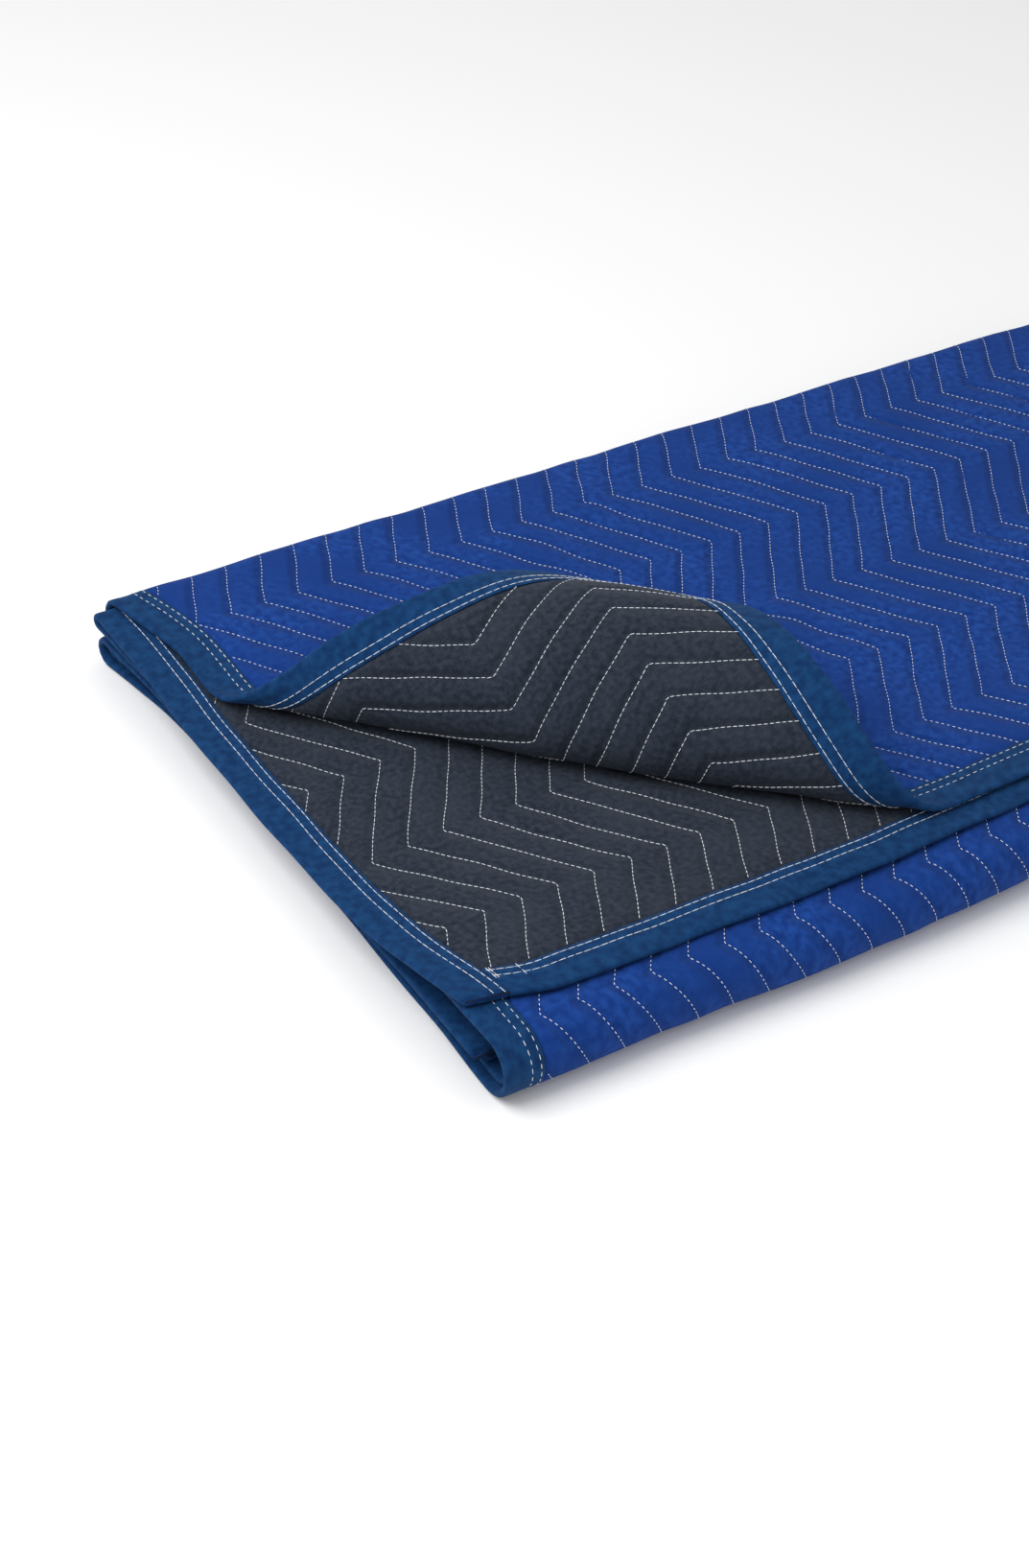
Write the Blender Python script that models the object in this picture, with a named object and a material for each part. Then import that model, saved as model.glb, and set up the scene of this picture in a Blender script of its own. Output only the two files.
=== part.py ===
"""A quilted moving blanket, folded in half and then in four, with one corner turned back.

Metres, +Z up. X runs along the folded length, from the bound ends to the crosswise fold.
Y runs from the front fold to the back folds. The blanket lies on the plane Z = 0.

Every piece is laid out in the blanket's own flat coordinates and then carried onto the folds:
  along   distance from the upper ply's bound end, round the crosswise fold, to the lower ply's end
  across  distance from the free edge on top, round the three lengthwise folds, to the inner edge
  out     distance from the surface between the two plies, towards the blue face
"""

import math

import bmesh
import bpy
import numpy as np
from mathutils import Vector

# Layers, measured outwards from the surface where the two plies meet
BACKING_IN = 0.0004
BACKING_OUT = 0.0026
FACE_IN = 0.0029
FACE_OUT = 0.0052
BINDING_GAP = 0.00050
BINDING_THICK = 0.0008
BINDING_IN = BACKING_IN
BINDING_OUT = FACE_OUT - 0.0001
BINDING_WIDTH = 0.0254
BINDING_OVERHANG = 0.0013

# Heights of the four folded panels, floor to top
PANEL_PITCH = 0.0116
HEIGHT_ON_FLOOR = FACE_OUT
FRONT_FOLD_RADIUS = 0.0160
BACK_FOLD_TOP_RADIUS = 0.0075
BACK_FOLD_LOW_RADIUS = 0.0066
BACK_FOLD_EASE = 0.0006
FRONT_RISE_LENGTH = 0.200
BACK_RISE_LENGTH = 0.180

# Where the folds and the edges lie along Y
FREE_EDGE_UPPER = -0.300
FREE_EDGE_LOWER = -0.315
SECTION_START = -0.318
FRONT_FOLD_Y = -0.327
BACK_FOLD_TOP_Y = 0.142
BACK_FOLD_LOW_Y = 0.141
INNER_EDGE_Y = -0.318

# Lengths along X
CROSSWISE_FOLD_X = 0.885
UPPER_LENGTH = 0.895
LOWER_LENGTH = 0.920
FOLD_LENGTH = 0.012

# Where the two bound ends lie along the section: (station, upper ply's end, lower ply's end)
END_STATIONS = (
    ("free edge", -0.012, -0.020),
    ("panel 1 front", -0.010, -0.034),
    ("panel 1 middle", -0.008, -0.036),
    ("panel 1 back", -0.008, -0.035),
    ("back fold top", -0.026, -0.037),
    ("panel 2 back", -0.022, -0.031),
    ("panel 2 middle", -0.013, -0.024),
    ("panel 2 front", -0.013, -0.022),
    ("front fold", -0.018, -0.023),
    ("panel 3 front", -0.014, -0.020),
    ("panel 3 middle", -0.012, -0.016),
    ("panel 3 back", -0.016, -0.020),
    ("back fold low", -0.028, -0.033),
    ("panel 4 back", -0.022, -0.028),
    ("panel 4 middle", -0.016, -0.022),
    ("inner edge", -0.016, -0.026),
)
END_SMOOTHING = 0.050
CORNER_ROUNDING = 0.014
CORNER_REACH = 0.060
EDGE_DRIFT_LENGTH = 0.320

# The turned-back corner: a curl about a slanting line across the upper ply
CURL_ORIGIN = (0.157, -0.116)
CURL_AXIS_ANGLE = math.radians(50.6)
CURL_TAPER = -0.335
CURL_SLANT = 0.090
CURL_BEND = 0.11
CURL_CURVATURE = (
    # distance past the line, curvature in 1/m
    (0.000, 0.0),
    (0.027, 57.6),
    (0.068, 7.8),
    (0.114, 14.1),
    (0.160, 17.9),
    (0.206, 7.1),
    (0.274, 4.3),
)

# Settling of the stack: the bound ends are pressed flatter half-way along
END_PRESS = 0.16
END_PRESS_FROM = 0.060
END_PRESS_TO = -0.036
FRONT_BOW = 0.006
FRONT_BOW_FROM = 0.10
FRONT_BOW_RAMP = 0.20
FRONT_BOW_LENGTH = 0.50
PRESS_FRONT = 0.31
PRESS_BACK = 0.15
PRESS_RAMP = 0.16

# Cloth within this distance of an edge is thinned to take the binding
BINDING_REACH = 0.0260
# The side bindings start this far from the bound ends
SIDE_BINDING_FROM = 0.0261

# The middle of the blanket's box, which becomes the origin
MIDDLE_X = 0.42611
MIDDLE_Y = -0.09973

# Mesh stations
UPPER_STATIONS = (0.0, 0.0257, 0.0265, 0.065, 0.105, 0.145, 0.185, 0.225, 0.270, 0.320, 0.400, 0.600)
LOWER_STATIONS = (0.600, 0.300, 0.095, 0.060, 0.0265, 0.0257, 0.0)
CROSSWISE_STEPS = 4
PANEL_1_STATIONS = (0.0, 0.0257, 0.0265, 0.065, 0.105, 0.145, 0.190, 0.240, 0.310, 0.380, 0.430)
PANEL_2_STATIONS = (0.12, 0.25, 0.62, 0.80)
PANEL_3_STATIONS = (0.5,)
PANEL_4_STATIONS = (0.15, 0.32, 0.70)
EDGE_STATIONS = (0.0265, 0.0257, 0.0)
TOP_FOLD_STEPS = 5
FRONT_FOLD_STEPS = 7
LOW_FOLD_STEPS = 5

BLUE = (0.020, 0.070, 0.290, 1.0)
CHARCOAL = (0.040, 0.050, 0.072, 1.0)
TEAL_BLUE = (0.012, 0.060, 0.180, 1.0)


def ease(t):
    """Rise smoothly from 0 to 1 as t goes from 0 to 1."""
    t = np.clip(t, 0.0, 1.0)
    return t * t * (3.0 - 2.0 * t)


# Section --------------------------------------------------------------------------------------

def near_front(y):
    return ease((FRONT_FOLD_Y + FRONT_RISE_LENGTH - y) / FRONT_RISE_LENGTH)


def near_back(y):
    return ease((y - BACK_FOLD_LOW_Y + BACK_RISE_LENGTH) / BACK_RISE_LENGTH)


def panel_4_height(y):
    level = HEIGHT_ON_FLOOR + PANEL_PITCH
    return level + near_back(y) * (HEIGHT_ON_FLOOR + 2.0 * BACK_FOLD_LOW_RADIUS - level)


def panel_2_height(y):
    level = HEIGHT_ON_FLOOR + 2.0 * PANEL_PITCH
    front = HEIGHT_ON_FLOOR + 2.0 * FRONT_FOLD_RADIUS
    back = HEIGHT_ON_FLOOR + 2.0 * BACK_FOLD_LOW_RADIUS + PANEL_PITCH + BACK_FOLD_EASE
    return level + near_front(y) * (front - level) + near_back(y) * (back - level)


def panel_1_height(y):
    return panel_2_height(y) + PANEL_PITCH + near_back(y) * (2.0 * BACK_FOLD_TOP_RADIUS - PANEL_PITCH)


def arc(centre_y, centre_z, radius, start, end, count=60):
    angles = np.radians(np.linspace(start, end, count))
    return np.column_stack([centre_y + radius * np.cos(angles), centre_z + radius * np.sin(angles)])


def run(start, end, height, count=200):
    ys = np.linspace(start, end, count)
    return np.column_stack([ys, height(ys)])


def section_path():
    """Return the folded section as distances, points and outward normals, and its named stations."""
    floor = HEIGHT_ON_FLOOR
    back = panel_2_height(np.array(BACK_FOLD_TOP_Y))
    pieces = [
        run(SECTION_START, BACK_FOLD_TOP_Y, panel_1_height),
        arc(BACK_FOLD_TOP_Y, back + BACK_FOLD_TOP_RADIUS, BACK_FOLD_TOP_RADIUS, 90, -90),
        run(BACK_FOLD_TOP_Y, FRONT_FOLD_Y, panel_2_height),
        arc(FRONT_FOLD_Y, floor + FRONT_FOLD_RADIUS, FRONT_FOLD_RADIUS, 90, 270),
        run(FRONT_FOLD_Y, BACK_FOLD_LOW_Y, lambda y: np.full_like(y, floor)),
        arc(BACK_FOLD_LOW_Y, floor + BACK_FOLD_LOW_RADIUS, BACK_FOLD_LOW_RADIUS, -90, 90),
        run(BACK_FOLD_LOW_Y, INNER_EDGE_Y, panel_4_height),
    ]
    points = pieces[0]
    marks = [0.0]
    for piece in pieces[1:]:
        marks.append(len(points) - 1)
        points = np.vstack([points, piece[1:]])
    marks.append(len(points) - 1)
    steps = np.linalg.norm(np.diff(points, axis=0), axis=1)
    distances = np.concatenate([[0.0], np.cumsum(steps)])
    tangents = np.gradient(points, axis=0)
    tangents /= np.linalg.norm(tangents, axis=1)[:, None]
    normals = np.column_stack([-tangents[:, 1], tangents[:, 0]])
    return distances, points, normals, [distances[int(mark)] for mark in marks]


DISTANCES, POINTS, NORMALS, MARKS = section_path()
PANEL_1, TOP_FOLD, PANEL_2, FRONT_FOLD, PANEL_3, LOW_FOLD, PANEL_4, SECTION_END = MARKS


def bound_ends():
    """Return the two bound ends' X along the section, smoothed along the cloth."""
    between = {
        "free edge": PANEL_1,
        "panel 1 front": PANEL_1 + 0.09,
        "panel 1 middle": 0.5 * (PANEL_1 + TOP_FOLD),
        "panel 1 back": TOP_FOLD - 0.06,
        "back fold top": 0.5 * (TOP_FOLD + PANEL_2),
        "panel 2 back": PANEL_2 + 0.06,
        "panel 2 middle": 0.5 * (PANEL_2 + FRONT_FOLD),
        "panel 2 front": FRONT_FOLD - 0.05,
        "front fold": 0.5 * (FRONT_FOLD + PANEL_3),
        "panel 3 front": PANEL_3 + 0.05,
        "panel 3 middle": 0.5 * (PANEL_3 + LOW_FOLD),
        "panel 3 back": LOW_FOLD - 0.06,
        "back fold low": 0.5 * (LOW_FOLD + PANEL_4),
        "panel 4 back": PANEL_4 + 0.06,
        "panel 4 middle": 0.5 * (PANEL_4 + SECTION_END),
        "inner edge": SECTION_END,
    }
    places = [between[name] for name, _, _ in END_STATIONS]
    across = np.arange(-END_SMOOTHING, SECTION_END + END_SMOOTHING, 0.002)
    kernel = np.hanning(int(END_SMOOTHING / 0.002))
    kernel /= kernel.sum()
    ends = []
    for column in (1, 2):
        values = np.interp(across, places, [row[column] for row in END_STATIONS])
        padded = np.pad(values, len(kernel), mode="edge")
        smoothed = np.convolve(padded, kernel, mode="same")[len(kernel):-len(kernel)]
        ends.append(smoothed)
    return across, ends[0], ends[1]


END_ACROSS, END_UPPER, END_LOWER = bound_ends()


# Curl -----------------------------------------------------------------------------------------

def curl_profile():
    """Return the curl's distances, and its forward travel, height and angle at each."""
    table = np.array(CURL_CURVATURE)
    distance = np.linspace(0.0, 0.40, 401)
    curvature = np.interp(distance, table[:, 0], table[:, 1])
    step = distance[1]
    angle = np.concatenate([[0.0], np.cumsum(0.5 * (curvature[1:] + curvature[:-1]) * step)])
    forward = np.concatenate([[0.0], np.cumsum(np.cos(0.5 * (angle[1:] + angle[:-1])) * step)])
    height = np.concatenate([[0.0], np.cumsum(np.sin(0.5 * (angle[1:] + angle[:-1])) * step)])
    return distance, forward, height, angle


CURL_DISTANCE, CURL_FORWARD, CURL_HEIGHT, CURL_ANGLE = curl_profile()


def curl(x, y, z, out):
    """Carry the flat upper ply's points at (x, y, z), out from its surface, onto the curl."""
    axis = np.array([math.cos(CURL_AXIS_ANGLE), -math.sin(CURL_AXIS_ANGLE)])
    towards = np.array([-math.sin(CURL_AXIS_ANGLE), -math.cos(CURL_AXIS_ANGLE)])
    rel_x = x - CURL_ORIGIN[0]
    rel_y = y - CURL_ORIGIN[1]
    along_axis = rel_x * axis[0] + rel_y * axis[1]
    line = CURL_SLANT * along_axis + CURL_BEND * along_axis ** 2
    past = rel_x * towards[0] + rel_y * towards[1] + line
    size = 1.0 + CURL_TAPER * along_axis
    reach = np.maximum(past / size, 0.0)
    forward = np.where(past > 0.0, size * np.interp(reach, CURL_DISTANCE, CURL_FORWARD), past)
    height = size * np.interp(reach, CURL_DISTANCE, CURL_HEIGHT)
    angle = np.interp(reach, CURL_DISTANCE, CURL_ANGLE)
    forward = forward - out * np.sin(angle)
    height = height + out * np.cos(angle)
    forward = forward - line
    new_x = CURL_ORIGIN[0] + along_axis * axis[0] + forward * towards[0]
    new_y = CURL_ORIGIN[1] + along_axis * axis[1] + forward * towards[1]
    return new_x, new_y, z + height


# From flat coordinates to the folded blanket --------------------------------------------------

def across_start(along):
    """Where the free edge lies across, at each distance along the cloth."""
    upper = FREE_EDGE_UPPER - SECTION_START
    lower = FREE_EDGE_LOWER - SECTION_START
    start = upper + (lower - upper) * ease((along - UPPER_LENGTH - FOLD_LENGTH) / EDGE_DRIFT_LENGTH)
    from_lower_end = UPPER_LENGTH + FOLD_LENGTH + LOWER_LENGTH - along
    return start + CORNER_ROUNDING * (1.0 - ease(from_lower_end / CORNER_REACH))


def settle(x, y, z):
    """Press the bound ends flatter half-way along, and bow the front fold outwards."""
    towards_end = ease((END_PRESS_FROM - x) / (END_PRESS_FROM - END_PRESS_TO))
    half_way = ease((y + PRESS_FRONT) / PRESS_RAMP) * ease((PRESS_BACK - y) / PRESS_RAMP)
    z = z * (1.0 - END_PRESS * towards_end * half_way)
    near_front_edge = ease((-y - FRONT_BOW_FROM) / FRONT_BOW_RAMP)
    y = y - FRONT_BOW * near_front_edge * np.sin(np.pi * np.clip(x / FRONT_BOW_LENGTH, 0.0, 1.0)) ** 2
    return x, y, z


def place(along, across, out):
    """Carry flat coordinates onto the folded blanket. Returns an array of points."""
    along, across, out = np.broadcast_arrays(along, across, out)
    turn = np.pi * np.clip((along - UPPER_LENGTH) / FOLD_LENGTH, 0.0, 1.0)
    section_y = np.interp(across, DISTANCES, POINTS[:, 0])
    section_z = np.interp(across, DISTANCES, POINTS[:, 1])
    normal_y = np.interp(across, DISTANCES, NORMALS[:, 0])
    normal_z = np.interp(across, DISTANCES, NORMALS[:, 1])
    section_y = section_y + np.minimum(across, 0.0) - np.maximum(across - SECTION_END, 0.0)
    upper_end = np.interp(across, END_ACROSS, END_UPPER)
    lower_end = np.interp(across, END_ACROSS, END_LOWER)
    on_upper = along <= UPPER_LENGTH
    upper_x = upper_end + along * (CROSSWISE_FOLD_X - upper_end) / UPPER_LENGTH
    past_fold = along - UPPER_LENGTH - FOLD_LENGTH
    lower_x = CROSSWISE_FOLD_X + past_fold * (lower_end - CROSSWISE_FOLD_X) / LOWER_LENGTH
    x = np.where(on_upper, upper_x, np.where(past_fold > 0.0, lower_x, CROSSWISE_FOLD_X))
    flat_out = out * np.cos(turn)
    curled = curl(x, section_y, section_z, out)
    x = x + out * np.sin(turn)
    y = section_y + normal_y * flat_out
    z = section_z + normal_z * flat_out
    takes_curl = on_upper & (across < TOP_FOLD)
    x = np.where(takes_curl, curled[0], x)
    y = np.where(takes_curl, curled[1], y)
    z = np.where(takes_curl, curled[2], z)
    x, y, z = settle(x, y, z)
    return np.stack([x - MIDDLE_X, y - MIDDLE_Y, z], axis=-1)


def along_stations():
    turn = np.linspace(0.0, 1.0, CROSSWISE_STEPS + 1) * FOLD_LENGTH + UPPER_LENGTH
    end = UPPER_LENGTH + FOLD_LENGTH + LOWER_LENGTH
    lower = [end - value for value in LOWER_STATIONS]
    return np.array(list(UPPER_STATIONS) + list(turn) + lower)


def across_stations():
    """Rows across the cloth, as the share taken from the free edge and the place on the section."""
    rows = list(PANEL_1_STATIONS)
    rows += list(np.linspace(TOP_FOLD, PANEL_2, TOP_FOLD_STEPS + 1))
    rows += [PANEL_2 + share * (FRONT_FOLD - PANEL_2) for share in PANEL_2_STATIONS]
    rows += list(np.linspace(FRONT_FOLD, PANEL_3, FRONT_FOLD_STEPS + 1))
    rows += [PANEL_3 + share * (LOW_FOLD - PANEL_3) for share in PANEL_3_STATIONS]
    rows += list(np.linspace(LOW_FOLD, PANEL_4, LOW_FOLD_STEPS + 1))
    rows += [PANEL_4 + share * (SECTION_END - PANEL_4) for share in PANEL_4_STATIONS]
    rows += [SECTION_END - share for share in EDGE_STATIONS]
    return np.array(rows)


ALONG = along_stations()
ACROSS = across_stations()


def across_at(along, row):
    """Slide the rows of panel 1 so that they start at the free edge."""
    bound = EDGE_STATIONS[0]
    return row + across_start(along) * (1.0 - np.clip((row - bound) / (TOP_FOLD - bound), 0.0, 1.0))


# Meshes ---------------------------------------------------------------------------------------

def add_piece(name, points, faces, colour, roughness):
    mesh = bpy.data.meshes.new(name)
    mesh.from_pydata([Vector(point) for point in points], [], faces)
    model = bmesh.new()
    model.from_mesh(mesh)
    bmesh.ops.recalc_face_normals(model, faces=model.faces)
    bmesh.ops.triangulate(model, faces=model.faces)
    model.to_mesh(mesh)
    model.free()
    material = bpy.data.materials.new(name)
    material.use_nodes = True
    shader = material.node_tree.nodes["Principled BSDF"]
    shader.inputs["Base Color"].default_value = colour
    shader.inputs["Roughness"].default_value = roughness
    shader.inputs["Metallic"].default_value = 0.0
    mesh.materials.append(material)
    piece = bpy.data.objects.new(name, mesh)
    bpy.context.scene.collection.objects.link(piece)
    return piece


def quad(a, b, c, d):
    """Two triangles that share the diagonal from b to d."""
    return [(a, b, d), (b, c, d)]


def sheet(name, inner, outer, inner_trim, outer_trim, colour, roughness):
    """A whole panel of the blanket, thinner along its edges where the binding wraps it."""
    along, row = np.meshgrid(ALONG, ACROSS, indexing="ij")
    end = ALONG[-1]
    from_end = np.minimum(along, end - along)
    from_side = np.minimum(row, SECTION_END - row)
    bound = np.minimum(from_end, from_side) < BINDING_REACH
    across = across_at(along, row)
    low = place(along, across, np.where(bound, inner + inner_trim, inner))
    high = place(along, across, np.where(bound, outer - outer_trim, outer))
    rows, columns = along.shape
    count = rows * columns
    points = np.vstack([low.reshape(-1, 3), high.reshape(-1, 3)])
    faces = []
    for i in range(rows - 1):
        for j in range(columns - 1):
            a = i * columns + j
            b = a + columns
            faces += quad(a, b, b + 1, a + 1)
            faces += [face[::-1] for face in quad(a + count, b + count, b + 1 + count, a + 1 + count)]
    rim = [i * columns for i in range(rows)]
    rim += [(rows - 1) * columns + j for j in range(1, columns)]
    rim += [i * columns + columns - 1 for i in range(rows - 2, -1, -1)]
    rim += [j for j in range(columns - 2, 0, -1)]
    for first, second in zip(rim, rim[1:] + rim[:1]):
        faces.append((first, second, second + count, first + count))
    return add_piece(name, points, faces, colour, roughness)


def binding_profile():
    """The folded strip's section: distance in from the cloth's edge, and distance out."""
    edge = BINDING_OVERHANG
    bevel = 0.0012
    inner_top = BINDING_OUT - BINDING_THICK
    inner_low = BINDING_IN + BINDING_THICK
    return (
        (BINDING_WIDTH, BINDING_OUT),
        (bevel - edge, BINDING_OUT),
        (-edge, BINDING_OUT - bevel),
        (-edge, BINDING_IN + bevel),
        (bevel - edge, BINDING_IN),
        (BINDING_WIDTH, BINDING_IN),
        (BINDING_WIDTH, inner_low),
        (-BINDING_GAP, inner_low),
        (-BINDING_GAP, inner_top),
        (BINDING_WIDTH, inner_top),
    )


def strip(name, point_at, count, lean):
    """Sweep the binding's section along count stations; point_at(station, inward, out).

    lean picks the diagonals, so that the strip's facets match those of the panels inside it."""
    profile = binding_profile()
    size = len(profile)
    points = []
    for station in range(count):
        for inward, out in profile:
            points.append(point_at(station, inward, out))
    faces = []
    for station in range(count - 1):
        for k in range(size):
            a = station * size + k
            b = station * size + (k + 1) % size
            narrows = profile[k][0] >= profile[(k + 1) % size][0]
            if narrows == lean:
                faces += [(a, b, b + size), (a, b + size, a + size)]
            else:
                faces += [(a, b, a + size), (b, b + size, a + size)]
    for start in (0, (count - 1) * size):
        faces += [
            tuple(start + k for k in (0, 1, 8, 9)),
            tuple(start + k for k in (1, 2, 3, 4, 7, 8)),
            tuple(start + k for k in (4, 5, 6, 7)),
        ]
    return add_piece(name, points, faces, TEAL_BLUE, 0.85)


def end_strip(name, upper):
    """The binding along one bound end, through all the lengthwise folds."""
    end = ALONG[-1]

    def point_at(station, inward, out):
        along = inward if upper else end - inward
        return place(along, across_at(np.clip(along, 0.0, end), ACROSS[station]), out)

    return strip(name, point_at, len(ACROSS), upper)


def side_strip(name, outer_edge):
    """The binding along one long side, between the two end bindings."""
    inside = SIDE_BINDING_FROM
    stations = [value for value in ALONG if inside < value < ALONG[-1] - inside]

    def point_at(station, inward, out):
        along = stations[station]
        if outer_edge:
            return place(along, across_start(along) + inward, out)
        return place(along, SECTION_END - inward, out)

    return strip(name, point_at, len(stations), outer_edge)


def clear_scene():
    for item in list(bpy.data.objects):
        bpy.data.objects.remove(item, do_unlink=True)


def main():
    clear_scene()
    trim = BINDING_THICK + BINDING_GAP
    sheet("face_panel", FACE_IN, FACE_OUT, 0.0, trim, BLUE, 0.9)
    sheet("backing_panel", BACKING_IN, BACKING_OUT, trim, 0.0, CHARCOAL, 0.95)
    end_strip("end_binding_upper", True)
    end_strip("end_binding_lower", False)
    side_strip("side_binding_outer", True)
    side_strip("side_binding_inner", False)


main()
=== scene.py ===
"""The looks of a folded, quilted moving blanket: cloth, binding, stitches, floor, light and camera.

Metres, +Z up. Each cloth piece is laid out flat and carried onto the folds by place():
  along   distance from the upper ply's bound end, round the crosswise fold, to the lower ply's end
  across  distance from the free edge on top, round the three lengthwise folds, to the inner edge
  out     distance from the surface between the two plies, towards the blue face
"""

import math

import bmesh
import bpy
import numpy as np
from mathutils import Matrix, Vector


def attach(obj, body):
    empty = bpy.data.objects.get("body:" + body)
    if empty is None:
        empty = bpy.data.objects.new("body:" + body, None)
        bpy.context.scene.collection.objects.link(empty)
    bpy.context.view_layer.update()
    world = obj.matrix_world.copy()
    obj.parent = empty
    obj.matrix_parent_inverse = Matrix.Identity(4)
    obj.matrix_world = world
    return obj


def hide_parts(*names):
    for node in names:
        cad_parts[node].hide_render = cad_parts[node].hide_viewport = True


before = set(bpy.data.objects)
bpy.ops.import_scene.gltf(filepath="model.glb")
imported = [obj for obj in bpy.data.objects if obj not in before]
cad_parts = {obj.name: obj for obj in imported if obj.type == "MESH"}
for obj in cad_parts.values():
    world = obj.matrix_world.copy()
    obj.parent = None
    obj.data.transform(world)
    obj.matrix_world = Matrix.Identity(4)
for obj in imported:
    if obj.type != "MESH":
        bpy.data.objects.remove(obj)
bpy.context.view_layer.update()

bl_info = {
    "name": "Folded moving blanket",
    "version": (1, 0, 0),
    "blender": (4, 5, 0),
    "location": "3D View > Sidebar > Blanket",
    "description": "Builds the cloth, binding and stitches of a folded moving blanket",
    "category": "Object",
}

# Layers, measured outwards from the surface where the two plies meet
BACKING_IN = 0.0004
BACKING_OUT = 0.0026
FACE_IN = 0.0029
FACE_OUT = 0.0052
BINDING_GAP = 0.00050
BINDING_THICK = 0.0008
BINDING_IN = BACKING_IN
BINDING_OUT = FACE_OUT - 0.0001
BINDING_WIDTH = 0.0254
BINDING_OVERHANG = 0.0013

# Heights of the four folded panels, floor to top
PANEL_PITCH = 0.0116
HEIGHT_ON_FLOOR = FACE_OUT
FRONT_FOLD_RADIUS = 0.0160
BACK_FOLD_TOP_RADIUS = 0.0075
BACK_FOLD_LOW_RADIUS = 0.0066
BACK_FOLD_EASE = 0.0006
FRONT_RISE_LENGTH = 0.200
BACK_RISE_LENGTH = 0.180

# Where the folds and the edges lie along Y
FREE_EDGE_UPPER = -0.300
FREE_EDGE_LOWER = -0.315
SECTION_START = -0.318
FRONT_FOLD_Y = -0.327
BACK_FOLD_TOP_Y = 0.142
BACK_FOLD_LOW_Y = 0.141
INNER_EDGE_Y = -0.318

# Lengths along X
CROSSWISE_FOLD_X = 0.885
UPPER_LENGTH = 0.895
LOWER_LENGTH = 0.920
FOLD_LENGTH = 0.012

# Where the two bound ends lie along the section: (station, upper ply's end, lower ply's end)
END_STATIONS = (
    ("free edge", -0.012, -0.020),
    ("panel 1 front", -0.010, -0.034),
    ("panel 1 middle", -0.008, -0.036),
    ("panel 1 back", -0.008, -0.035),
    ("back fold top", -0.026, -0.037),
    ("panel 2 back", -0.022, -0.031),
    ("panel 2 middle", -0.013, -0.024),
    ("panel 2 front", -0.013, -0.022),
    ("front fold", -0.018, -0.023),
    ("panel 3 front", -0.014, -0.020),
    ("panel 3 middle", -0.012, -0.016),
    ("panel 3 back", -0.016, -0.020),
    ("back fold low", -0.028, -0.033),
    ("panel 4 back", -0.022, -0.028),
    ("panel 4 middle", -0.016, -0.022),
    ("inner edge", -0.016, -0.026),
)
END_SMOOTHING = 0.050
CORNER_ROUNDING = 0.014
CORNER_REACH = 0.060
EDGE_DRIFT_LENGTH = 0.320

# The turned-back corner: a curl about a slanting line across the upper ply
CURL_ORIGIN = (0.157, -0.116)
CURL_AXIS_ANGLE = math.radians(50.6)
CURL_TAPER = -0.335
CURL_SLANT = 0.090
CURL_BEND = 0.11
CURL_CURVATURE = (
    # distance past the line, curvature in 1/m
    (0.000, 0.0),
    (0.027, 57.6),
    (0.068, 7.8),
    (0.114, 14.1),
    (0.160, 17.9),
    (0.206, 7.1),
    (0.274, 4.3),
)

# Settling of the stack: the bound ends are pressed flatter half-way along
END_PRESS = 0.16
END_PRESS_FROM = 0.060
END_PRESS_TO = -0.036
FRONT_BOW = 0.006
FRONT_BOW_FROM = 0.10
FRONT_BOW_RAMP = 0.20
FRONT_BOW_LENGTH = 0.50
PRESS_FRONT = 0.31
PRESS_BACK = 0.15
PRESS_RAMP = 0.16

# The middle of the blanket's box, which becomes the origin
MIDDLE_X = 0.42611
MIDDLE_Y = -0.09973

# Quilting: zigzag rows of stitches, laid out on each ply by its own origin along and across
QUILT_PITCH = 0.026
QUILT_HALF_WAVE = 0.0793
QUILT_SWING = 0.0543
UPPER_QUILT_ORIGIN = (0.0146, 0.0954)
LOWER_QUILT_ORIGIN = (0.0, 0.0)
STITCH_PITCH = 0.0038
BINDING_STITCH_PITCH = 0.0058
THREAD_RADIUS = 0.00025
BINDING_ROWS = (0.0166, 0.0228)
BINDING_TURNS = (0.0275, 0.0290, 0.0440)

# Soft creases of the upper ply: (start x, start y, end x, end y, half width, depth)
CREASES = (
    (0.250, 0.120, 0.300, -0.060, 0.014, 0.0022),
    (0.300, 0.090, 0.395, -0.030, 0.012, -0.0018),
    (0.340, 0.130, 0.330, 0.020, 0.010, 0.0018),
    (0.395, -0.050, 0.330, -0.170, 0.016, 0.0024),
    (0.420, -0.100, 0.400, -0.230, 0.013, -0.0020),
    (0.345, -0.120, 0.300, -0.215, 0.012, 0.0018),
    (0.200, 0.100, 0.230, -0.020, 0.018, -0.0012),
    (0.060, 0.080, 0.110, 0.000, 0.014, 0.0012),
)
CREASE_SNAKE = 0.006
CREASE_SNAKE_RATE = 9.0
CREASE_FADE = 0.3

# Small swells of the cloth: (rate along, rate across, phase, share of the depth), rates in radians per metre
RIPPLE_DEPTH = 0.0010
RIPPLES = (
    (41.0, 17.0, 0.3, 0.35),
    (-23.0, 61.0, 1.9, 0.30),
    (77.0, -52.0, 4.1, 0.22),
    (118.0, 96.0, 2.2, 0.16),
    (-151.0, 71.0, 5.0, 0.12),
)

# Each ply's bound end lies this far before the quilting's own zero
UPPER_END_AT = 0.010
LOWER_END_AT = 0.034
OFF_THE_CLOTH = -1.0

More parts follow.
